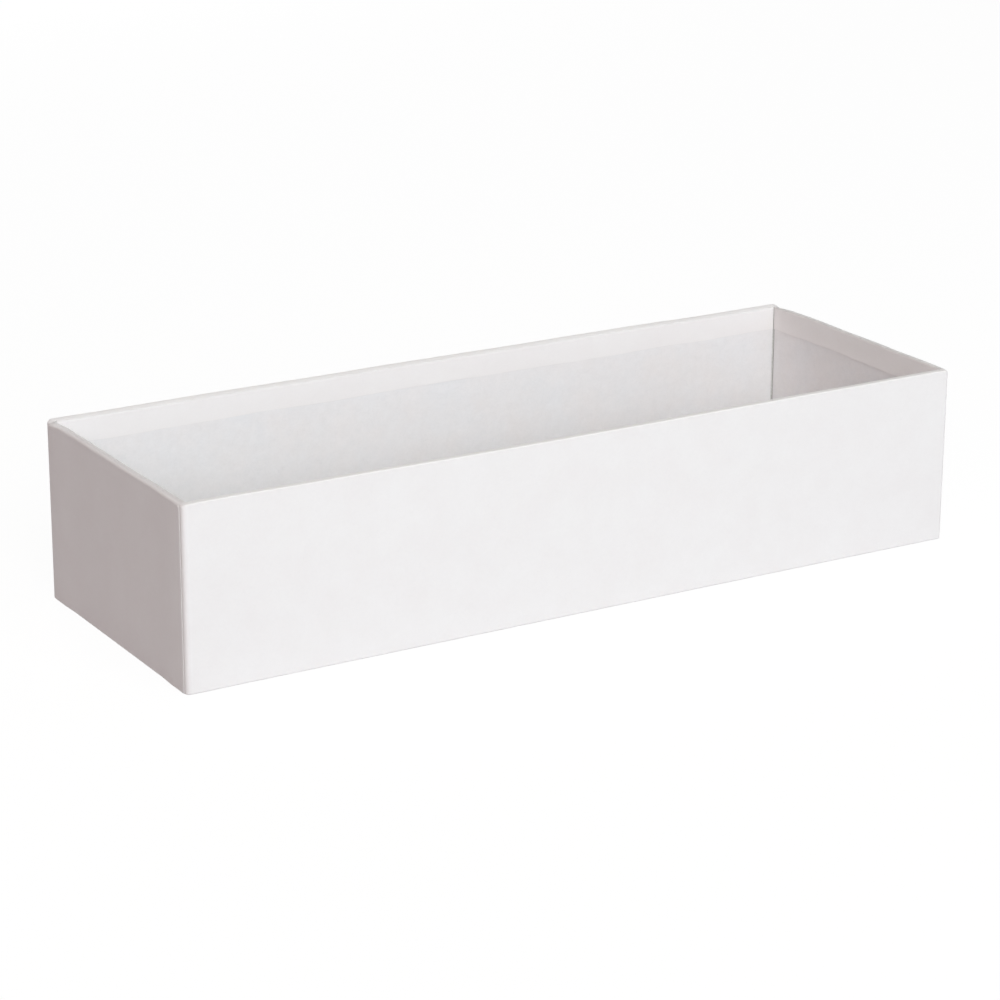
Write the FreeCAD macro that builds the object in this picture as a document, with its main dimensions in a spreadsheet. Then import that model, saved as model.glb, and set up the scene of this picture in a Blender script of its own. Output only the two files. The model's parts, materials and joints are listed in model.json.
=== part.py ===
import FreeCAD, Part
import Sketcher
import os

# Open drawer tray of greyboard wrapped in white paper, in millimetres.
# X runs along the tray, Y from front to rear, Z up. The origin is the middle of the underside.

doc = FreeCAD.newDocument("DrawerTray")

# Driving dimensions
sizes = {
    "OutsideLength": 350.0,
    "OutsideWidth": 124.0,
    "OutsideHeight": 74.0,
    "WallBoard": 2.4,        # greyboard of the four walls
    "FloorBoard": 2.4,       # greyboard of the floor
    "BoardEdgeRadius": 0.4,  # outer edges of the wall boards at the rim and the underside
    "UprightRadius": 1.2,    # crushed upright corners of the shell
    "RimInnerRadius": 0.5,   # pressed inner edge of the rim
    "LiningPaper": 0.2,
    "LiningMargin": 0.4,     # bare board left beside the inside corners
    "StayTape": 0.15,
    "StayLeg": 11.0,         # reach of a corner stay along each wall
    "WrapPaper": 0.2,
    "EarLength": 13.0,       # long papers, round the corner onto the ends
    "EndSetback": 2.2,       # end papers stop this short of the corner
    "RampLength": 9.0,       # papers sink to the board beyond stay and ear
    "RimTurnIn": 10.5,       # paper folded down inside, from the rim
    "TurnInGap": 0.7,        # long turn-ins stop this short of the end walls
    "RimSlit": 0.3,          # slit beyond the rim's fold that lets the turn-in fold down
    "TurnUnder": 12.0,       # paper folded onto the underside
    "MitreGap": 0.4,         # between neighbouring turn-unders
    "BaseInset": 3.0,        # base paper, in from the outside
    "BaseJoggle": 1.0,       # base paper steps up to the board over this width
}

sheet = doc.addObject("Spreadsheet::Sheet", "Dims")
for row, (alias, value) in enumerate(sizes.items(), start=1):
    sheet.set(f"A{row}", alias)
    sheet.set(f"B{row}", str(value))
    sheet.setAlias(f"B{row}", alias)
doc.recompute()

# Faces and levels, as formulas on the sheet, each layer laid on the one before
halfLength = "(Dims.OutsideLength / 2)"
halfWidth = "(Dims.OutsideWidth / 2)"
wrap = "Dims.WrapPaper"
rimTop = "Dims.OutsideHeight"
boardTop = f"({rimTop} - {wrap})"
turnUnderFace = wrap                                       # underside of the turn-unders
boardBottom = f"({turnUnderFace} + {wrap})"
floorTop = f"({boardBottom} + Dims.FloorBoard)"
earFace = f"({halfLength} - {wrap})"                       # ears lie under the end papers
stayEndFace = f"({earFace} - {wrap})"                      # stays lie under the ears
boardEndFace = f"({stayEndFace} - Dims.StayTape)"
innerEndFace = f"({boardEndFace} - Dims.WallBoard)"
liningEndFace = f"({innerEndFace} - Dims.LiningPaper)"
turnInEndFace = f"({liningEndFace} - {wrap})"
stayLongFace = f"({halfWidth} - {wrap})"
boardLongFace = f"({stayLongFace} - Dims.StayTape)"
innerLongFace = f"({boardLongFace} - Dims.WallBoard)"
liningLongFace = f"({innerLongFace} - Dims.LiningPaper)"
turnInLongFace = f"({liningLongFace} - {wrap})"
turnInLevel = f"({rimTop} - Dims.RimTurnIn)"
setback = f"({halfWidth} - Dims.EndSetback)"
flatEnd = f"({boardEndFace} - Dims.BoardEdgeRadius)"       # where the folded edges run flat
lapDepth = f"(max(Dims.EarLength; {wrap} + Dims.StayLeg) + {wrap})"  # from the long face to bare board
rimRadius = f"(Dims.BoardEdgeRadius + {wrap})"
cornerRadius = f"(Dims.UprightRadius + Dims.StayTape + {wrap})"
liningTop = f"({boardTop} - Dims.RimInnerRadius)"
beyond = f"({halfLength} + {halfWidth})"                   # well outside the tray

bothHands = (("Left", "-1"), ("Right", "1"))
nodes = []


def worth(formula):
    return float(sheet.evalExpression(formula))


def newBody(name, turn=0):
    body = doc.addObject("PartDesign::Body", name)
    body.Label = name
    body.Placement = FreeCAD.Placement(FreeCAD.Vector(0, 0, 0), FreeCAD.Rotation(turn, 0, 0))
    nodes.append(body)
    return body


def outline(body, name, role, corners, height="0"):
    # closed outline of straight sides, each corner held by two formulas
    sketch = body.newObject("Sketcher::SketchObject", body.Name + "_" + name)
    plane = [item for item in body.Origin.OriginFeatures if item.Role == role][0]
    sketch.AttachmentSupport = [(plane, "")]
    sketch.MapMode = "FlatFace"
    sketch.setExpression("AttachmentOffset.Base.z", height)
    places = [FreeCAD.Vector(worth(across), worth(up), 0) for across, up in corners]
    count = len(places)
    for index in range(count):
        sketch.addGeometry(Part.LineSegment(places[index], places[(index + 1) % count]), False)
    for index in range(count):
        sketch.addConstraint(Sketcher.Constraint("Coincident", index, 2, (index + 1) % count, 1))
    for index, (across, up) in enumerate(corners):
        held = sketch.addConstraint(Sketcher.Constraint("DistanceX", index, 1, places[index].x))
        sketch.setExpression(f"Constraints[{held}]", across)
        held = sketch.addConstraint(Sketcher.Constraint("DistanceY", index, 1, places[index].y))
        sketch.setExpression(f"Constraints[{held}]", up)
    return sketch


def rectangle(body, name, role, across, up, height="0"):
    (left, right), (low, high) = across, up
    return outline(body, name, role, [(left, low), (right, low), (right, high), (left, high)], height)


def grow(body, sketch, length, both=False):
    feature = body.newObject("PartDesign::Pad", sketch.Name + "_pad")
    feature.Profile = sketch
    feature.setExpression("Length", length)
    feature.SideType = "Symmetric" if both else "One side"
    doc.recompute()


def cutThrough(body, sketch, downOnly=False):
    feature = body.newObject("PartDesign::Pocket", sketch.Name + "_cut")
    feature.Profile = sketch
    feature.Type = "ThroughAll"
    feature.SideType = "One side" if downOnly else "Symmetric"
    before = feature.BaseFeature.Shape.Volume
    doc.recompute()
    if feature.Shape.Volume >= before:
        raise RuntimeError(sketch.Name + " cuts nothing")


def named(kind, items, wanted):
    # the names of those edges or faces whose boxes pass the test
    return [f"{kind}{place}" for place, item in enumerate(items, start=1) if wanted(item.BoundBox)]


def rounded(body, name, radius, wanted):
    base = body.Tip
    feature = body.newObject("PartDesign::Fillet", body.Name + "_" + name)
    feature.Base = (base, named("Edge", base.Shape.Edges, wanted))
    feature.setExpression("Radius", radius)
    doc.recompute()


def hollowed(body, openFace):
    # leaves a sheet of wrapping paper in place of the solid form, open where the test says
    base = body.Tip
    feature = body.newObject("PartDesign::Thickness", body.Name + "_sheet")
    feature.Base = (base, named("Face", base.Shape.Faces, openFace))
    feature.Mode = "Skin"
    feature.Join = "Arc"
    feature.Reversed = True
    feature.setExpression("Value", wrap)
    doc.recompute()


def near(value, formula):
    return abs(value - worth(formula)) < 1e-4


def atX(box, formula):
    return near(box.XMin, formula) and near(box.XMax, formula)


def atY(box, formula):
    return near(box.YMin, formula) and near(box.YMax, formula)


def atZ(box, formula):
    return near(box.ZMin, formula) and near(box.ZMax, formula)


def upright(box):
    return box.ZMax - box.ZMin > 10 * max(box.XMax - box.XMin, box.YMax - box.YMin)


# Greyboard shell

def floorBoard():
    body = newBody("floor_board")
    plan = rectangle(body, "plan", "XY_Plane", (f"-{innerEndFace}", innerEndFace),
                     (f"-{innerLongFace}", innerLongFace), boardBottom)
    grow(body, plan, "Dims.FloorBoard")


def longBoard(name, turn):
    # runs the whole length, with its upright corners crushed round
    body = newBody(name, turn)
    plan = rectangle(body, "plan", "XY_Plane", (f"-{boardEndFace}", boardEndFace),
                     (f"-{boardLongFace}", f"-{innerLongFace}"), boardBottom)
    grow(body, plan, f"{boardTop} - {boardBottom}")
    rounded(body, "corners", "Dims.UprightRadius",
            lambda box: upright(box) and atY(box, f"-{boardLongFace}"))
    rounded(body, "edges", "Dims.BoardEdgeRadius",
            lambda box: (atZ(box, boardTop) or atZ(box, boardBottom)) and not atY(box, f"-{innerLongFace}"))
    rounded(body, "rim", "Dims.RimInnerRadius",
            lambda box: atZ(box, boardTop) and atY(box, f"-{innerLongFace}"))


def endBoard(name, turn):
    # stands between the long boards
    body = newBody(name, turn)
    plan = rectangle(body, "plan", "XY_Plane", (f"-{boardEndFace}", f"-{innerEndFace}"),
                     (f"-{innerLongFace}", innerLongFace), boardBottom)
    grow(body, plan, f"{boardTop} - {boardBottom}")
    rounded(body, "edges", "Dims.BoardEdgeRadius",
            lambda box: atX(box, f"-{boardEndFace}") and (atZ(box, boardTop) or atZ(box, boardBottom)))
    rounded(body, "rim", "Dims.RimInnerRadius",
            lambda box: atX(box, f"-{innerEndFace}") and atZ(box, boardTop))


# Lining, one sheet on the inside of each board

def floorLining():
    body = newBody("floor_lining")
    alongX = f"({liningEndFace} - Dims.LiningMargin)"
    alongY = f"({liningLongFace} - Dims.LiningMargin)"
    plan = rectangle(body, "plan", "XY_Plane", (f"-{alongX}", alongX), (f"-{alongY}", alongY), floorTop)
    grow(body, plan, "Dims.LiningPaper")


def longLining(name, turn):
    body = newBody(name, turn)
    alongX = f"({liningEndFace} - Dims.LiningMargin)"
    plan = rectangle(body, "plan", "XY_Plane", (f"-{alongX}", alongX),
                     (f"-{innerLongFace}", f"-{liningLongFace}"), floorTop)
    grow(body, plan, f"{liningTop} - {floorTop}")


def endLining(name, turn):
    body = newBody(name, turn)
    alongY = f"({liningLongFace} - Dims.LiningMargin)"
    plan = rectangle(body, "plan", "XY_Plane", (f"-{innerEndFace}", f"-{liningEndFace}"),
                     (f"-{alongY}", alongY), floorTop)
    grow(body, plan, f"{liningTop} - {floorTop}")


# Corner stays, gummed paper folded round the upright corners of the shell

def cornerStay(name, sideX, sideY):
    body = newBody(name)
    outerX = f"({sideX} * {stayEndFace})"
    innerX = f"({sideX} * {boardEndFace})"
    legX = f"({sideX} * ({stayEndFace} - Dims.StayLeg))"
    outerY = f"({sideY} * {stayLongFace})"
    innerY = f"({sideY} * {boardLongFace})"
    legY = f"({sideY} * ({stayLongFace} - Dims.StayLeg))"
    corners = [(outerX, legY), (outerX, outerY), (legX, outerY),
               (legX, innerY), (innerX, innerY), (innerX, legY)]
    plan = outline(body, "plan", "XY_Plane", corners, f"{boardBottom} + Dims.BoardEdgeRadius")
    grow(body, plan, f"{boardTop} - {boardBottom} - 2 * Dims.BoardEdgeRadius")
    rounded(body, "inner", "Dims.UprightRadius",
            lambda box: upright(box) and atX(box, innerX) and atY(box, innerY))
    rounded(body, "outer", "Dims.UprightRadius + Dims.StayTape",
            lambda box: upright(box) and atX(box, outerX) and atY(box, outerY))


# Wrapping papers

def longWrap(name, turn):
    # a solid form of the wrapped wall and corners, hollowed to one sheet and trimmed to its flaps
    body = newBody(name, turn)
    earEnd = f"-({halfWidth} - Dims.EarLength)"
    stayEnd = f"({stayEndFace} - Dims.StayLeg - {wrap})"
    sunk = f"({stayEnd} - Dims.RampLength)"
    sunkFace = f"-({halfWidth} - Dims.StayTape)"
    corners = [(f"-{earFace}", earEnd), (f"-{earFace}", f"-{halfWidth}"),
               (f"-{stayEnd}", f"-{halfWidth}"), (f"-{sunk}", sunkFace),
               (sunk, sunkFace), (stayEnd, f"-{halfWidth}"),
               (earFace, f"-{halfWidth}"), (earFace, earEnd)]
    grow(body, outline(body, "form", "XY_Plane", corners, turnUnderFace), f"{rimTop} - {turnUnderFace}")
    rounded(body, "corners", cornerRadius,
            lambda box: upright(box) and atY(box, f"-{halfWidth}")
            and (atX(box, earFace) or atX(box, f"-{earFace}")))
    rounded(body, "folds", rimRadius,
            lambda box: (atZ(box, rimTop) or atZ(box, turnUnderFace)) and not atY(box, earEnd))
    hollowed(body, lambda box: atY(box, earEnd))
    # the rim is open behind the wall, the underside open behind its edge
    overRim = rectangle(body, "overRim", "YZ_Plane", (f"-{liningLongFace}", beyond),
                        (f"{rimTop} - {rimRadius}", beyond))
    cutThrough(body, overRim)
    underEdge = rectangle(body, "underEdge", "YZ_Plane", (f"-{setback}", beyond),
                          (f"-{beyond}", f"{turnUnderFace} + {rimRadius}"))
    cutThrough(body, underEdge)
    # turn-under with mitred ends
    reach = f"({flatEnd} - Dims.TurnUnder + Dims.EndSetback)"
    underDepth = f"-({halfWidth} - Dims.TurnUnder)"
    corners = [(f"-{flatEnd}", f"-{setback}"), (flatEnd, f"-{setback}"),
               (reach, underDepth), (f"-{reach}", underDepth)]
    grow(body, outline(body, "turnUnder", "XY_Plane", corners, turnUnderFace), wrap)
    # turn-in over the rim and down inside
    turnIn = rectangle(body, "turnIn", "YZ_Plane", (f"-{liningLongFace}", f"-{turnInLongFace}"),
                       (turnInLevel, rimTop))
    grow(body, turnIn, f"2 * ({liningEndFace} - Dims.TurnInGap)", both=True)
    slitDepth = f"({liningLongFace} + Dims.RimInnerRadius + Dims.RimSlit)"
    for hand, sign in bothHands:
        slit = rectangle(body, "slit" + hand, "XY_Plane",
                         (f"{sign} * ({liningEndFace} - Dims.TurnInGap)", f"{sign} * {liningEndFace}"),
                         (f"-{slitDepth}", f"-{liningLongFace}"))
        cutThrough(body, slit)
    rounded(body, "rimUnderFold", "Dims.RimInnerRadius",
            lambda box: atZ(box, boardTop) and atY(box, f"-{liningLongFace}") and box.XMin < 0 < box.XMax)
    rounded(body, "rimFold", f"Dims.RimInnerRadius + {wrap}",
            lambda box: atZ(box, rimTop) and atY(box, f"-{turnInLongFace}"))


def endWrap(name, turn):
    # the same way as the long papers, but laid over their ears and without ears of its own
    body = newBody(name, turn)
    lap = f"({halfWidth} - {lapDepth})"
    sunk = f"({lap} - Dims.RampLength)"
    sunkFace = f"-({boardEndFace} + {wrap})"
    corners = [(f"-{turnInEndFace}", f"-{setback}"), (f"-{turnInEndFace}", setback),
               (f"-{halfLength}", setback), (f"-{halfLength}", lap),
               (sunkFace, sunk), (sunkFace, f"-{sunk}"),
               (f"-{halfLength}", f"-{lap}"), (f"-{halfLength}", f"-{setback}")]
    grow(body, outline(body, "form", "XY_Plane", corners, turnUnderFace), f"{rimTop} - {turnUnderFace}")
    rounded(body, "folds", rimRadius,
            lambda box: (atZ(box, rimTop) or atZ(box, turnUnderFace)) and box.XMax < -worth(boardEndFace))
    rounded(body, "rimFold", f"Dims.RimInnerRadius + {wrap}",
            lambda box: atZ(box, rimTop) and atX(box, f"-{turnInEndFace}"))
    hollowed(body, lambda box: atY(box, setback) or atY(box, f"-{setback}"))
    # inside, only the turn-in stays
    inside = rectangle(body, "inside", "XZ_Plane", (f"-{flatEnd}", "0"), (f"-{beyond}", turnInLevel))
    cutThrough(body, inside)
    # at both ends, the rim and the turn-in stop at the long walls
    for hand, sign in bothHands:
        past = (f"{sign} * {liningLongFace}", f"{sign} * {beyond}")
        rimEnd = rectangle(body, "rimEnd" + hand, "YZ_Plane", past, (f"{rimTop} - {rimRadius}", beyond))
        cutThrough(body, rimEnd)
        turnInEnd = rectangle(body, "turnInEnd" + hand, "XY_Plane", (f"-{flatEnd}", "0"), past)
        cutThrough(body, turnInEnd)
    # turn-under, mitred beside the long ones
    start = f"({setback} - Dims.MitreGap)"
    depth = f"({flatEnd} - ({halfLength} - Dims.TurnUnder))"
    inner = f"-({flatEnd} - {depth})"
    corners = [(f"-{flatEnd}", f"-{start}"), (inner, f"-({start} - {depth})"),
               (inner, f"{start} - {depth}"), (f"-{flatEnd}", start)]
    grow(body, outline(body, "turnUnder", "XY_Plane", corners, turnUnderFace), wrap)


def basePaper():
    # lies on the turn-unders along its edges and steps up to the floor board inside them
    body = newBody("base_paper")
    alongX = f"({halfLength} - Dims.BaseInset)"
    alongY = f"({halfWidth} - Dims.BaseInset)"
    raisedX = f"({halfLength} - Dims.TurnUnder - Dims.MitreGap)"
    raisedY = f"({halfWidth} - Dims.TurnUnder - Dims.MitreGap)"
    sunkX = f"({raisedX} - Dims.BaseJoggle)"
    sunkY = f"({raisedY} - Dims.BaseJoggle)"
    plan = rectangle(body, "plan", "XY_Plane", (f"-{alongX}", alongX), (f"-{alongY}", alongY))
    grow(body, plan, wrap)
    raised = rectangle(body, "raised", "XY_Plane", (f"-{raisedX}", raisedX), (f"-{raisedY}", raisedY))
    grow(body, raised, boardBottom)
    # below the step, the sheet leaves the table
    sunk = rectangle(body, "sunk", "XY_Plane", (f"-{sunkX}", sunkX), (f"-{sunkY}", sunkY), wrap)
    cutThrough(body, sunk, downOnly=True)


floorBoard()
floorLining()
for side, turn in (("front", 0), ("rear", 180)):
    longBoard(side + "_board", turn)
    longLining(side + "_lining", turn)
    longWrap(side + "_wrap", turn)
for side, turn in (("left", 0), ("right", 180)):
    endBoard(side + "_end_board", turn)
    endLining(side + "_end_lining", turn)
    endWrap(side + "_end_wrap", turn)
for along, sideY in (("front", -1), ("rear", 1)):
    for end, sideX in (("left", -1), ("right", 1)):
        cornerStay(f"corner_stay_{along}_{end}", sideX, sideY)
basePaper()
doc.recompute()

for item in doc.Objects:
    if "Invalid" in item.State or "Error" in item.State:
        raise RuntimeError(f"{item.Name} is {item.State}")
for body in nodes:
    if body.Shape.isNull() or not body.Shape.isValid():
        raise RuntimeError(body.Label + " has no valid shape")

os.makedirs("parts", exist_ok=True)
for body in nodes:
    body.Shape.exportStep(f"parts/{body.Label}.step")
    box = body.Shape.BoundBox
    print(f"{body.Label}: {body.Shape.Volume:.1f} mm3, "
          f"{box.XLength:.2f} x {box.YLength:.2f} x {box.ZLength:.2f} mm")
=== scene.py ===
import json
import math
import bmesh
import bpy
from mathutils import Matrix, Vector, noise


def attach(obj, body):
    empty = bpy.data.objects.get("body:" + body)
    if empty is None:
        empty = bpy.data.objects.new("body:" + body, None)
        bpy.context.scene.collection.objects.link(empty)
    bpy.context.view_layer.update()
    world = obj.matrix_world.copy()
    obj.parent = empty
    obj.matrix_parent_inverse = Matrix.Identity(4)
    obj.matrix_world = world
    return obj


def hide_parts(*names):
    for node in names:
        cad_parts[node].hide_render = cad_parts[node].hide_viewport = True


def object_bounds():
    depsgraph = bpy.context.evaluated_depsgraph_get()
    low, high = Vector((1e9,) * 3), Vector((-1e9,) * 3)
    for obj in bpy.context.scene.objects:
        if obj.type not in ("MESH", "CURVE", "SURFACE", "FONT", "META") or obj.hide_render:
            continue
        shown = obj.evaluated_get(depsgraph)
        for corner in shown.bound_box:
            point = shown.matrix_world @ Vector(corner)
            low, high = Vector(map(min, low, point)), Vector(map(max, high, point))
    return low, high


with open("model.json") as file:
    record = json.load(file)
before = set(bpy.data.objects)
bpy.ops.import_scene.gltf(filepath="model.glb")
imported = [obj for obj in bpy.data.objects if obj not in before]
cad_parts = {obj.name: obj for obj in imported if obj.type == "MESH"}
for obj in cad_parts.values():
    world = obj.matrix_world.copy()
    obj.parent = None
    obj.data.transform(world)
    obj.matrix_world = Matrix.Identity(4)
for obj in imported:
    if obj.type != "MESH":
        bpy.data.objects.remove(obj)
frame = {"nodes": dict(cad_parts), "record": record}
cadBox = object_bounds()
print("frame loaded:", len(frame["nodes"]), "nodes")

mm = 0.001
halfLength = cadBox[1].x
halfWidth = cadBox[1].y
rimHeight = cadBox[1].z
turnInEdge = rimHeight - 10.5 * mm    # lower edge of the papers that turn in over the rim
papersDepth = 0.6 * mm                # the papers lie within this of an outer face, the board beyond it
wallDepth = 2.9 * mm                  # deeper than this behind an outer face is the inside
scene = bpy.context.scene


# Materials

def hexColour(code):
    # sRGB hex to the linear values that the nodes want
    channels = [int(code[place:place + 2], 16) / 255 for place in (1, 3, 5)]
    linear = [value / 12.92 if value <= 0.04045 else ((value + 0.055) / 1.055) ** 2.4 for value in channels]
    return (*linear, 1)


def addNode(tree, kind, inputs=None, **settings):
    # one shader node with its settings; a socket takes a value, another socket, or a node, whose first
    # output in use is linked
    made = tree.nodes.new("ShaderNode" + kind)
    for name, value in settings.items():
        setattr(made, name, value)
    for name, value in (inputs or {}).items():
        if isinstance(value, bpy.types.Node):
            value = next(output for output in value.outputs if output.enabled)
        if isinstance(value, bpy.types.NodeSocket):
            tree.links.new(value, made.inputs[name])
        else:
            made.inputs[name].default_value = value
    return made


def startMaterial(name):
    # an empty material, and the place in the tray before it settled, which its patterns follow
    material = bpy.data.materials.new(name)
    material.use_nodes = True
    tree = material.node_tree
    tree.nodes.clear()
    place = addNode(tree, "Attribute", attribute_name="laidPlace").outputs["Vector"]
    return material, tree, place


def finishMaterial(tree, colour, surface, look):
    shader = addNode(tree, "BsdfPrincipled", {"Base Color": colour, "Normal": surface, "IOR": 1.5,
                                              "Roughness": look["roughness"],
                                              "Specular IOR Level": look["specular"]})
    addNode(tree, "OutputMaterial", {"Surface": shader})


def perMm(size):
    # scale of a texture whose pattern is that many millimetres across
    return 1 / (size * mm)


noiseSpan = {"From Min": 0.3, "From Max": 0.7}    # nearly all of a noise lies between these
smooth = {"interpolation_type": "SMOOTHSTEP"}
falling = {"To Min": 1.0, "To Max": 0.0}


def addCloud(tree, place, size, low, high, detail=4):
    # soft noise of that size in mm, running between two values
    cloud = addNode(tree, "TexNoise", {"Vector": place, "Scale": perMm(size), "Detail": detail,
                                       "Roughness": 0.6})
    return addNode(tree, "MapRange", {"Value": cloud, "To Min": low, "To Max": high, **noiseSpan})


def addFibres(tree, place, size, width):
    # a web of lines of that spacing and width in mm, 1 on a fibre and 0 beside it; a noise nearly as coarse
    # as the web bends them
    bend = addNode(tree, "TexNoise", {"Vector": place, "Scale": perMm(size * 0.8), "Detail": 2})
    moved = addNode(tree, "VectorMath", {0: bend.outputs["Color"], 1: (size * mm,) * 3, 2: place},
                    operation="MULTIPLY_ADD")
    web = addNode(tree, "TexVoronoi", {"Vector": moved, "Scale": perMm(size)}, feature="DISTANCE_TO_EDGE")
    return addNode(tree, "MapRange", {"Value": web, "From Max": width / size, **falling}, **smooth)


def addOverlap(tree, mask, *others):
    # 1 only where every mask is 1
    for other in others:
        mask = addNode(tree, "Math", {0: mask, 1: other}, operation="MULTIPLY")
    return mask


def addDarkening(tree, colour, mask, amount):
    # darkens by that share where the mask is 1
    left = addNode(tree, "Math", {0: 1.0, 1: addOverlap(tree, mask, amount)}, operation="SUBTRACT")
    return addNode(tree, "VectorMath", {0: colour, "Scale": left}, operation="SCALE")


def addReach(tree, place):
    # how far a place lies from the tray's two middle planes, and its height
    apart = addNode(tree, "SeparateXYZ", {"Vector": place}).outputs
    alongX = addNode(tree, "Math", {0: apart["X"]}, operation="ABSOLUTE")
    alongY = addNode(tree, "Math", {0: apart["Y"]}, operation="ABSOLUTE")
    return alongX, alongY, apart["Z"]


def addFoldMask(tree, place, reach):
    # 1 on the folded outer edges of the tray, 0 from that many mm away from them
    alongX, alongY, height = addReach(tree, place)
    raised = addNode(tree, "Math", {0: height, 1: rimHeight / 2}, operation="SUBTRACT")
    fromMiddle = addNode(tree, "Math", {0: raised}, operation="ABSOLUTE")
    near = [addNode(tree, "MapRange", {"Value": value, "From Min": face - reach * mm, "From Max": face},
                    **smooth)
            for value, face in ((alongX, halfLength), (alongY, halfWidth), (fromMiddle, rimHeight / 2))]
    mask = 0.0
    for one, other in ((0, 1), (1, 2), (2, 0)):
        edge = addOverlap(tree, near[one], near[other])
        mask = addNode(tree, "Math", {0: mask, 1: edge}, operation="MAXIMUM")
    return mask


# Uncoated offset paper, smooth-rolled and glued wet over board: matt and almost evenly white, with a
# faint cloudiness of its fibres, a fine tooth and slow waves where it has drawn tight. Its folds are
# rubbed. Painted shade darkens the inner half of its short rims and the inner bends of its long rims, and
# a thin painted shadow lies along each cut edge
wrapLook = {
    "white": "#F1EFEF",
    "thin": "#EFECEC",           # where the sheet is thinner
    "rubbed": "#E8E5E3",         # on the folds
    "cloudSize": 16,             # mm, as all sizes and reaches here
    "fleckSize": 1.2,
    "fleckShades": (0.992, 1.006),
    "fibreSize": 2.6,
    "fibreWidth": 0.09,
    "fibreShade": 0.02,          # at most, in patches
    "fibrePatch": 7,
    "toothSize": 0.6,            # the real tooth is about 0.1 mm, drawn coarser so that it shows
    "toothDepth": 0.004,
    "waveSize": 42,
    "waveDepth": 0.025,
    "foldReach": 1.2,
    "wear": 0.6,                 # share of the rubbed colour on the folds, at most
    "wearPatch": 4.5,
    "leftRimShade": 0.16,         # painted shade, the share of the light that a short rim's top loses
    "rightRimShade": 0.11,
    "bendShade": 0.07,            # and the inner bends of the long rims
    "rimShadeUneven": (0.6, 1.4),
    "rimShadePatch": 5,
    "rimShadeDepth": (0.6, 0.25),    # below the rim's top, from none to full
    "shortRimReach": (0.7, 1.9),    # in from the outer face, from none to full
    "longRimReach": (4.0, 2.5),
    "bendReach": (2.2, 2.9),
    "turnInShade": 0.11,
    "turnInPatch": 12,
    "setback": 2.2,              # of the end papers' cut edges from the long faces
    "setbackShade": 0.15,
    "shadeWidth": 0.4,           # of the shade beside a cut edge
    "shadeStart": 0.05,          # over which it sets in on the end faces
    "roughness": 0.6,
    "specular": 0.3,
}


def addCutEdgeShadows(tree, place, colour, look):
    # a painted shadow along the turn-ins' lower edge, broken where the paper lies close, and beside the end
    # papers' cut edges
    alongX, alongY, height = addReach(tree, place)
    width = look["shadeWidth"] * mm
    above = addNode(tree, "MapRange", {"Value": height, "From Min": turnInEdge - mm,
                                       "From Max": turnInEdge}, **smooth)
    low = addNode(tree, "MapRange", {"Value": height, "From Min": turnInEdge,
                                     "From Max": turnInEdge + width, **falling}, **smooth)
    insideX = addNode(tree, "Math", {0: alongX, 1: halfLength - wallDepth}, operation="LESS_THAN")
    insideY = addNode(tree, "Math", {0: alongY, 1: halfWidth - wallDepth}, operation="LESS_THAN")
    patches = addCloud(tree, place, look["turnInPatch"], 0.0, 1.0, detail=2)
    turnIn = addOverlap(tree, above, low, insideX, insideY, patches)
    colour = addDarkening(tree, colour, turnIn, look["turnInShade"])
    edge = halfWidth - look["setback"] * mm
    start = addNode(tree, "MapRange", {"Value": alongY, "From Min": edge - look["shadeStart"] * mm,
                                       "From Max": edge}, **smooth)
    end = addNode(tree, "MapRange", {"Value": alongY, "From Min": edge + width / 2,
                                     "From Max": edge + width, **falling}, **smooth)
    onEnd = addNode(tree, "Math", {0: alongX, 1: halfLength - papersDepth}, operation="GREATER_THAN")
    return addDarkening(tree, colour, addOverlap(tree, start, end, onEnd), look["setbackShade"])


def addRimShade(tree, place, colour, look):
    # painted shade on the inner half of the short rims, and in the inner bends of the long ones
    side = addNode(tree, "SeparateXYZ", {"Vector": place}).outputs["X"]
    alongX, alongY, height = addReach(tree, place)
    onRim, onLong, inner, inBend = [
        addNode(tree, "MapRange", {"Value": value, "From Min": face - look[reach][0] * mm,
                                   "From Max": face - look[reach][1] * mm}, **smooth)
        for value, face, reach in ((height, rimHeight, "rimShadeDepth"), (alongY, halfWidth, "longRimReach"),
                                   (alongX, halfLength, "shortRimReach"), (alongY, halfWidth, "bendReach"))]
    offLong = addNode(tree, "Math", {0: 1.0, 1: onLong}, operation="SUBTRACT")
    amount = addNode(tree, "MapRange", {"Value": side, "From Min": -halfLength, "From Max": halfLength,
                                        "To Min": look["leftRimShade"], "To Max": look["rightRimShade"]})
    rimShade = addNode(tree, "Math", {0: addOverlap(tree, amount, inner, offLong),
                                  1: addOverlap(tree, onLong, inBend, look["bendShade"])}, operation="ADD")
    uneven = addOverlap(tree, rimShade, addCloud(tree, place, look["rimShadePatch"], *look["rimShadeUneven"]))
    return addDarkening(tree, colour, onRim, uneven)


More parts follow.
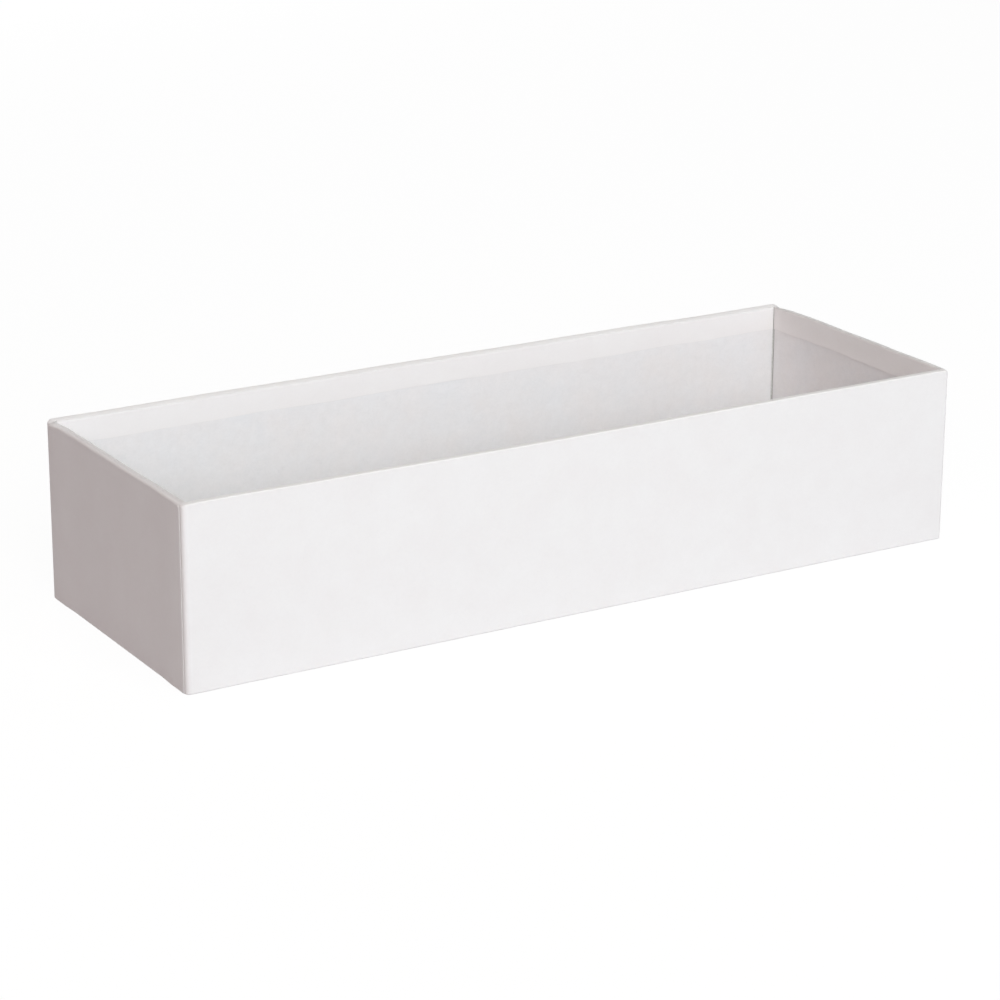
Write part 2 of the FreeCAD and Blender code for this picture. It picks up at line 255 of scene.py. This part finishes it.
def makeWrapPaper(name, look):
    material, tree, place = startMaterial(name)
    cloud = addCloud(tree, place, look["cloudSize"], 0.0, 1.0, detail=6)
    colour = addNode(tree, "Mix", {"Factor": cloud, 6: hexColour(look["white"]), 7: hexColour(look["thin"])},
                     data_type="RGBA")
    flecks = addCloud(tree, place, look["fleckSize"], *look["fleckShades"], detail=3)
    colour = addNode(tree, "VectorMath", {0: colour, "Scale": flecks}, operation="SCALE")
    fibres = addFibres(tree, place, look["fibreSize"], look["fibreWidth"])
    colour = addDarkening(tree, colour, fibres,
                          addCloud(tree, place, look["fibrePatch"], 0.0, look["fibreShade"]))
    worn = addOverlap(tree, addFoldMask(tree, place, look["foldReach"]),
                      addCloud(tree, place, look["wearPatch"], 0.0, look["wear"]))
    colour = addNode(tree, "Mix", {"Factor": worn, 6: colour, 7: hexColour(look["rubbed"])}, data_type="RGBA")
    # painted shade on the rims
    colour = addRimShade(tree, place, colour, look)
    # painted shadow along the cut edges
    colour = addCutEdgeShadows(tree, place, colour, look)
    waves = addCloud(tree, place, look["waveSize"], 0.0, 1.0, detail=1)
    drawn = addNode(tree, "Bump", {"Height": waves, "Strength": 1.0, "Distance": look["waveDepth"] * mm})
    tooth = addCloud(tree, place, look["toothSize"], 0.0, 1.0, detail=3)
    toothed = addNode(tree, "Bump", {"Height": tooth, "Strength": 1.0, "Distance": look["toothDepth"] * mm,
                                     "Normal": drawn})
    finishMaterial(tree, colour, toothed, look)
    return material


# Recycled lining paper, machine-made and pasted down before the box is set up: cooler and softer than
# the wrap, mottled by uneven paste and flecked with short fibres
liningLook = {
    "cool": "#EBEBED",
    "warm": "#EDEAEA",
    "blotchSize": 22,            # mm, as all sizes here
    "mottleSize": 3.2,
    "mottleShades": (0.972, 1.01),
    "speckSize": 1.1,
    "speckShades": (0.985, 1.01),
    "fibreSize": 2.1,
    "fibreWidth": 0.1,
    "fibreShade": 0.035,
    "fibrePatch": 6,
    "toothSize": 0.7,
    "toothDepth": 0.008,
    "pasteSize": 9,
    "pasteDepth": 0.02,
    "roughness": 0.75,
    "specular": 0.25,
}


def makeLiningPaper(name, look):
    material, tree, place = startMaterial(name)
    blotches = addCloud(tree, place, look["blotchSize"], 0.0, 1.0, detail=6)
    colour = addNode(tree, "Mix", {"Factor": blotches, 6: hexColour(look["cool"]),
                                   7: hexColour(look["warm"])}, data_type="RGBA")
    for shades in (addCloud(tree, place, look["mottleSize"], *look["mottleShades"], detail=5),
                   addCloud(tree, place, look["speckSize"], *look["speckShades"], detail=3)):
        colour = addNode(tree, "VectorMath", {0: colour, "Scale": shades}, operation="SCALE")
    fibres = addFibres(tree, place, look["fibreSize"], look["fibreWidth"])
    colour = addDarkening(tree, colour, fibres,
                          addCloud(tree, place, look["fibrePatch"], 0.0, look["fibreShade"]))
    paste = addCloud(tree, place, look["pasteSize"], 0.0, 1.0, detail=2)
    pasted = addNode(tree, "Bump", {"Height": paste, "Strength": 1.0, "Distance": look["pasteDepth"] * mm})
    tooth = addCloud(tree, place, look["toothSize"], 0.0, 1.0, detail=3)
    toothed = addNode(tree, "Bump", {"Height": tooth, "Strength": 1.0, "Distance": look["toothDepth"] * mm,
                                     "Normal": pasted})
    finishMaterial(tree, colour, toothed, look)
    return material


# Greyboard, pressed from mixed waste paper: dull pale grey, speckled with darker and lighter scraps
boardLook = {
    "grey": "#D8D8D7",
    "darker": "#CDCCCB",         # in clouds
    "scrap": "#E0DFDC",
    "cloudSize": 6,              # mm, as all sizes here
    "scrapSize": 1.4,
    "scrapWidth": 0.12,
    "scrapShare": 0.6,           # of the scrap's colour, at most
    "scrapPatch": 3,
    "speckSize": 0.5,
    "speckShades": (0.86, 1.1),
    "grainDepth": 0.03,
    "roughness": 0.9,
    "specular": 0.2,
}


def makeGreyboard(name, look):
    material, tree, place = startMaterial(name)
    cloud = addCloud(tree, place, look["cloudSize"], 0.0, 1.0, detail=6)
    colour = addNode(tree, "Mix", {"Factor": cloud, 6: hexColour(look["grey"]), 7: hexColour(look["darker"])},
                     data_type="RGBA")
    scraps = addOverlap(tree, addFibres(tree, place, look["scrapSize"], look["scrapWidth"]),
                        addCloud(tree, place, look["scrapPatch"], 0.0, look["scrapShare"]))
    colour = addNode(tree, "Mix", {"Factor": scraps, 6: colour, 7: hexColour(look["scrap"])},
                     data_type="RGBA")
    specks = addCloud(tree, place, look["speckSize"], *look["speckShades"], detail=2)
    colour = addNode(tree, "VectorMath", {0: colour, "Scale": specks}, operation="SCALE")
    grain = addNode(tree, "Bump", {"Height": specks, "Strength": 1.0, "Distance": look["grainDepth"] * mm})
    finishMaterial(tree, colour, grain, look)
    return material


# Gummed kraft paper, machine-glazed on one side: brown, with fine ribs across the roll
tapeLook = {
    "light": "#BE9C73",
    "dark": "#A6835C",
    "cloudSize": 3,              # mm, as all sizes here
    "fleckSize": 0.6,
    "fleckShades": (0.95, 1.04),
    "ribSize": 0.9,
    "ribDepth": 0.01,
    "roughness": 0.55,
    "specular": 0.5,
}


def makeKraftTape(name, look):
    material, tree, place = startMaterial(name)
    cloud = addCloud(tree, place, look["cloudSize"], 0.0, 1.0, detail=6)
    colour = addNode(tree, "Mix", {"Factor": cloud, 6: hexColour(look["light"]), 7: hexColour(look["dark"])},
                     data_type="RGBA")
    flecks = addCloud(tree, place, look["fleckSize"], *look["fleckShades"], detail=2)
    colour = addNode(tree, "VectorMath", {0: colour, "Scale": flecks}, operation="SCALE")
    # a wave texture of scale 1 has its bands pi / 10 apart
    ribs = addNode(tree, "TexWave", {"Vector": place, "Scale": perMm(look["ribSize"]) * math.pi / 10,
                                     "Distortion": 2.0, "Detail": 2.0}, bands_direction="Z")
    ribbed = addNode(tree, "Bump", {"Height": ribs.outputs["Fac"], "Strength": 1.0,
                                    "Distance": look["ribDepth"] * mm})
    finishMaterial(tree, colour, ribbed, look)
    return material


baseLook = dict(wrapLook, white="#EEECEA", thin="#E6E3E0", cloudSize=11, waveDepth=0.05, roughness=0.66)

slotMaterials = {
    "greyboard": makeGreyboard("PressedGreyboard", boardLook),
    "lining_paper": makeLiningPaper("RecycledLiningPaper", liningLook),
    "stay_tape": makeKraftTape("GummedKraftPaper", tapeLook),
    "wrap_paper": makeWrapPaper("UncoatedOffsetPaper", wrapLook),
    "base_paper": makeWrapPaper("UncoatedBasePaper", baseLook),
}
print("materials made:", len(slotMaterials))


# Boards and papers

# Each piece is drawn again from its CAD shape, a little settled, as trays glued up by hand are: the long
# walls belly out towards the rim, the rim isn't dead level, and the knife's edges wander. In mm, unless
# the note says otherwise
settling = {
    "cutEvery": 9,               # between the cuts that let a piece bend
    # closer cuts beside the corners, in from the outer faces
    "endCuts": (0.4, 0.8, 1.3, 1.9, 2.5, 3.3, 4.3),
    "frontBelly": 0.8,           # that a wall stands out at the rim, halfway along
    "rearBelly": 0.45,
    "endBelly": 0.2,
    "spare": 0.06,               # kept clear of the outside size
    "rimDip": 0.3,               # the rim goes down by up to this, in waves of this length
    "rimWave": 34,
    "rimShare": 0.72,            # of the height, from which a wall goes down with its rim
    "frontSag": 0.3,             # of the front rim halfway along
    "rearTilt": 0.85,            # the rear rim leans in
    "rearTiltReach": (0.5, 3.4),    # in from the rear face, from none to full
    "rearTiltEnd": (12, 6),      # none again well beyond the wall
    "endRimFall": 0.7,           # the short rims' outer edges are crushed down
    "endRimReach": 1.9,
    "cornerDrop": 0.2,           # of the rim at the four corners, where the board's points are crushed
    "cornerReach": 6,
    "endFallTop": 0.36,          # the end faces fall away beside the upright corners, more so at the foot
    "endFallFoot": 0.6,
    "endFallReach": 4.2,
    "knifeWander": 0.35,         # of the turn-ins' lower edge, up and down
    "knifeWave": 30,
    "knifeReach": 3,             # above the turn-ins' lower edge
    "knifeSlack": 0.1,           # a point this little below that edge still counts as on it
    "edgeLift": 0.14,            # of the turn-ins' lower edge off the lining
    "liftWave": 45,
    "liftReach": 3.4,            # in from the outer face, which takes in a wall's own turn-in alone
    "liningShrink": 0.3,         # linings draw back at each end as their paste dries
    "liningDepth": (3.2, 3.0),   # what lies deeper behind the end and the long faces can draw back
    "baseWander": 0.3,           # the base paper's edges aren't quite straight
    "baseWave": 60,
    "waveGain": 1.8,             # brings a noise, which seldom gets far, to the full -1 to 1
    "seedStep": 7.3,             # waves apart, from one seed's waves to the next
    "weld": 0.001,               # points closer than this are one
    "flatAngle": 0.5,            # degrees, faces this nearly level are joined before the cuts
    "sharpAngle": 35,            # degrees, folds rounder than this are shaded smooth
}


def wander(along, wave, seed):
    # slow waves from -1 to 1 along an edge, other ones for each seed; the callers mix some of the second
    # coordinate into the first, so that no two walls wave alike
    there = Vector((along / (wave * mm), seed * settling["seedStep"], 0.5))
    return max(-1.0, min(1.0, settling["waveGain"] * noise.noise(there)))


def easing(value, start, end):
    # from 0 at the start to 1 at the end, without a kink
    share = max(0.0, min(1.0, (value - start) / (end - start)))
    return share * share * (3 - 2 * share)


def rimFall(point, fromEnd, fromSide):
    # how far the rim has gone down there
    fall = settling["rimDip"] * (0.5 + 0.5 * wander(point.x + 2.6 * point.y, settling["rimWave"], 1))
    if point.y < 0:
        fall += settling["frontSag"] * (1 - (point.x / halfLength) ** 2)
    else:
        fall += (settling["rearTilt"] * easing(fromSide, *settling["rearTiltReach"])
                 * easing(fromSide, *settling["rearTiltEnd"]))
    fall += settling["endRimFall"] * max(0.0, 1 - fromEnd / settling["endRimReach"])
    crushed = max(0.0, 1 - math.hypot(fromEnd, fromSide) / settling["cornerReach"])
    return fall + settling["cornerDrop"] * crushed ** 1.5


def settled(point, slot):
    # where a point of the tray comes to lie
    along = point.x / halfLength
    across = point.y / halfWidth
    up = point.z / rimHeight
    fromEnd = (halfLength - abs(point.x)) / mm
    fromSide = (halfWidth - abs(point.y)) / mm
    belly = settling["frontBelly"] if across < 0 else settling["rearBelly"]
    outY = belly * (1 - along * along) * up ** 1.5
    outY -= max(settling["frontBelly"], settling["rearBelly"]) + settling["spare"]
    outX = settling["endBelly"] * (1 - across * across) * up
    outX -= settling["endBelly"] + settling["spare"]
    endFall = settling["endFallFoot"] + (settling["endFallTop"] - settling["endFallFoot"]) * up
    outX -= endFall * max(0.0, 1 - fromSide / settling["endFallReach"]) ** 2
    down = rimFall(point, fromEnd, fromSide) * easing(up, settling["rimShare"], 1.0)
    moved = Vector((outX * along, outY * across, -down))
    inside = min(fromEnd, fromSide) * mm > wallDepth
    if slot == "wrap_paper" and inside and point.z > turnInEdge - settling["knifeSlack"] * mm:
        # the lower edge of the turn-ins
        near = 1 - easing(point.z, turnInEdge, turnInEdge + settling["knifeReach"] * mm)
        moved.z += settling["knifeWander"] * near * wander(point.x - 1.7 * point.y, settling["knifeWave"], 2)
        lift = settling["edgeLift"] * near
        lift *= max(0.0, wander(point.x + 1.3 * point.y, settling["liftWave"], 3))
        moved.x -= math.copysign(lift, point.x) * (fromEnd < settling["liftReach"])
        moved.y -= math.copysign(lift, point.y) * (fromSide < settling["liftReach"])
    if slot == "lining_paper":
        # along each sheet only, so that it stays on its board
        moved.x -= settling["liningShrink"] * along * (fromEnd > settling["liningDepth"][0])
        moved.y -= settling["liningShrink"] * across * (fromSide > settling["liningDepth"][1])
    if slot == "base_paper":
        moved.x += settling["baseWander"] * wander(point.y + 0.3 * point.x, settling["baseWave"], 4)
        moved.y += settling["baseWander"] * wander(point.x - 0.2 * point.y, settling["baseWave"], 5)
    return point + moved * mm


def placesToCut(start, end):
    # evenly spaced, as far apart as a piece needs to bend
    count = math.ceil((end - start) / (settling["cutEvery"] * mm))
    return [start + (end - start) * step / count for step in range(1, count)]


def nearEnds(face):
    # beside both ends, on either side of the middle
    return [side * (face - reach * mm) for side in (-1, 1) for reach in settling["endCuts"]]


cuts = (
    (Vector((1, 0, 0)), placesToCut(-halfLength, halfLength) + nearEnds(halfLength)),
    (Vector((0, 1, 0)), placesToCut(-halfWidth, halfWidth) + nearEnds(halfWidth)),
    (Vector((0, 0, 1)), placesToCut(0, rimHeight) + [turnInEdge + settling["knifeReach"] * mm]),
)
weld = settling["weld"] * mm
triangles = 0
for part in frame["record"]["subparts"]:
    name, slot = part["node"], part["material_slot"]
    piece = bpy.data.objects.new(name + "_settled", bpy.data.meshes.new(name + "_settled"))
    scene.collection.objects.link(piece)
    shape = bmesh.new()
    shape.from_mesh(frame["nodes"][name].data)
    bmesh.ops.remove_doubles(shape, verts=shape.verts, dist=weld)
    bmesh.ops.dissolve_limit(shape, angle_limit=math.radians(settling["flatAngle"]), verts=shape.verts,
                             edges=shape.edges)
    for axis, places in cuts:
        for place in places:
            bmesh.ops.bisect_plane(shape, geom=shape.verts[:] + shape.edges[:] + shape.faces[:], dist=weld,
                                   plane_co=axis * place, plane_no=axis)
    bmesh.ops.triangulate(shape, faces=shape.faces[:])
    laid = shape.verts.layers.float_vector.new("laidPlace")
    for vertex in shape.verts:
        vertex[laid] = vertex.co
        vertex.co = settled(vertex.co, slot)
    for face in shape.faces:
        face.smooth = True
    shape.to_mesh(piece.data)
    shape.free()
    piece.data.set_sharp_from_angle(angle=math.radians(settling["sharpAngle"]))
    flat = piece.modifiers.new("flatFaces", "WEIGHTED_NORMAL")
    flat.keep_sharp = True
    piece.data.materials.append(slotMaterials[slot])
    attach(piece, "root")
    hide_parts(name)
    triangles += len(piece.data.polygons)
print("boards and papers settled:", triangles, "triangles")


# Stage

stage = {
    "floorSize": 12,             # m
    "floorColour": "#BCBCBC",
    "whiteShare": 0.8,           # of what the camera sees of the floor, the rest takes light and shadow
    "white": 1.16,
    "clearReach": 0.3,           # mm below the tray where the floor lets the light from below through
    "roomLight": 0.1,
}
pureWhite = (1, 1, 1, 1)


def addSeen(tree):
    # 1 for the rays that see the background: from the camera, in gloss and through glass
    rays = addNode(tree, "LightPath").outputs
    seen = rays["Is Camera Ray"]
    for kind in ("Is Glossy Ray", "Is Transmission Ray"):
        seen = addNode(tree, "Math", {0: seen, 1: rays[kind]}, operation="MAXIMUM")
    return seen


floor = bpy.data.objects.new("floor", bpy.data.meshes.new("floor"))
scene.collection.objects.link(floor)
sheet = bmesh.new()
bmesh.ops.create_grid(sheet, x_segments=1, y_segments=1, size=stage["floorSize"] / 2)
sheet.to_mesh(floor.data)
sheet.free()

# White to the camera, yet it takes the tray's shadow and throws light back; clear from below, and to the
# light of the lamp there where the tray stands on it
paint = bpy.data.materials.new("PaleStudioFloor")
paint.use_nodes = True
tree = paint.node_tree
tree.nodes.clear()
share = addOverlap(tree, addSeen(tree), stage["whiteShare"])
lit = addNode(tree, "BsdfDiffuse", {"Color": hexColour(stage["floorColour"])})
white = addNode(tree, "Emission", {"Color": pureWhite, "Strength": stage["white"]})
mixed = addNode(tree, "MixShader", {0: share, 1: lit, 2: white})
rays = addNode(tree, "LightPath").outputs
near = addNode(tree, "Math", {0: rays["Ray Length"], 1: stage["clearReach"] * mm}, operation="LESS_THAN")
fromBelow = addNode(tree, "NewGeometry").outputs["Backfacing"]
clear = addNode(tree, "Math", {0: fromBelow, 1: addOverlap(tree, rays["Is Shadow Ray"], near)},
                operation="MAXIMUM")
whole = addNode(tree, "MixShader", {0: clear, 1: mixed, 2: addNode(tree, "BsdfTransparent")})
addNode(tree, "OutputMaterial", {"Surface": whole})
floor.data.materials.append(paint)

world = bpy.data.worlds.new("StudioRoom")
scene.world = world
world.use_nodes = True
tree = world.node_tree
tree.nodes.clear()
room = addNode(tree, "Background", {"Color": pureWhite, "Strength": stage["roomLight"]})
white = addNode(tree, "Background", {"Color": pureWhite, "Strength": 1.0})
mixed = addNode(tree, "MixShader", {0: addSeen(tree), 1: room, 2: white})
addNode(tree, "OutputWorld", {"Surface": mixed})

softboxes = {
    # azimuth round the tray from its front and height, in degrees, then distance and size in metres
    "keySoftbox": {"azimuth": -25, "height": 30, "distance": 4.6, "size": 2.6, "power": 114,
                   "colour": (1.0, 1.0, 1.0)},
    "frontSoftbox": {"azimuth": 8, "height": 18, "distance": 2.6, "size": 1.6, "power": 24.1,
                     "colour": (0.89, 0.93, 1.0)},
    "leftSoftbox": {"azimuth": -90, "height": 25, "distance": 2.6, "size": 1.6, "power": 5.2,
                    "colour": (1.0, 0.45, 0.41)},
    "nearLamp": {"azimuth": 0, "height": 60, "distance": 0.66, "size": 0.35, "power": 0.42,
                 "colour": (0.94, 1.0, 0.73)},
    "rearSoftbox": {"azimuth": 170, "height": 7, "distance": 2.6, "size": 0.9, "power": 26,
                    "colour": (1.0, 1.0, 1.0)},
    "rightSoftbox": {"azimuth": 80, "height": 12, "distance": 2.6, "size": 1.4, "power": 12,
                     "colour": (1.0, 1.0, 1.0)},
    "topSoftbox": {"azimuth": 180, "height": 75, "distance": 2.6, "size": 0.8, "power": 5.2,
                   "colour": (1.0, 1.0, 1.0)},
    "underLamp": {"azimuth": 0, "height": -90, "distance": 1.0, "size": 0.1, "power": 2.9,
                  "colour": (1.0, 1.0, 1.0)},
}
middle = Vector((0, 0, rimHeight / 2))


def direction(azimuth, height):
    turn, lift = math.radians(azimuth), math.radians(height)
    return Vector((math.sin(turn) * math.cos(lift), -math.cos(turn) * math.cos(lift), math.sin(lift)))


for name, light in softboxes.items():
    lamp = bpy.data.lights.new(name, "AREA")
    lamp.shape = "SQUARE"
    lamp.size = light["size"]
    lamp.energy = light["power"]
    lamp.color = light["colour"]
    holder = bpy.data.objects.new(name, lamp)
    away = direction(light["azimuth"], light["height"])
    holder.location = middle + away * light["distance"]
    holder.rotation_mode = "QUATERNION"
    holder.rotation_quaternion = away.to_track_quat("Z", "Y")
    scene.collection.objects.link(holder)

cameraView = {
    "lens": 115.2,           # mm
    "sensorWidth": 36,
    "shiftY": -0.05,
    "clipping": (0.05, 50),  # m
    "azimuth": -31.045,      # degrees
    "height": 17.545,
    "roll": 0.254,
    "distance": 1.3041,      # m from the middle of the underside
    "right": -0.0038,        # m that the camera stands beside and above that line
    "up": 0.0477,
}
lens = bpy.data.cameras.new("camera")
lens.lens = cameraView["lens"]
lens.sensor_width = cameraView["sensorWidth"]
lens.shift_y = cameraView["shiftY"]
lens.clip_start, lens.clip_end = cameraView["clipping"]
camera = bpy.data.objects.new("camera", lens)
scene.collection.objects.link(camera)
scene.camera = camera
back = direction(cameraView["azimuth"], cameraView["height"])
level = (-back).cross(Vector((0, 0, 1))).normalized()
right = Matrix.Rotation(math.radians(cameraView["roll"]), 3, back) @ level
up = back.cross(right)
camera.location = back * cameraView["distance"] + right * cameraView["right"] + up * cameraView["up"]
camera.rotation_mode = "QUATERNION"
camera.rotation_quaternion = Matrix((right, up, back)).transposed().to_quaternion()

scene.view_settings.view_transform = "Standard"
print("stage, lights and camera set")
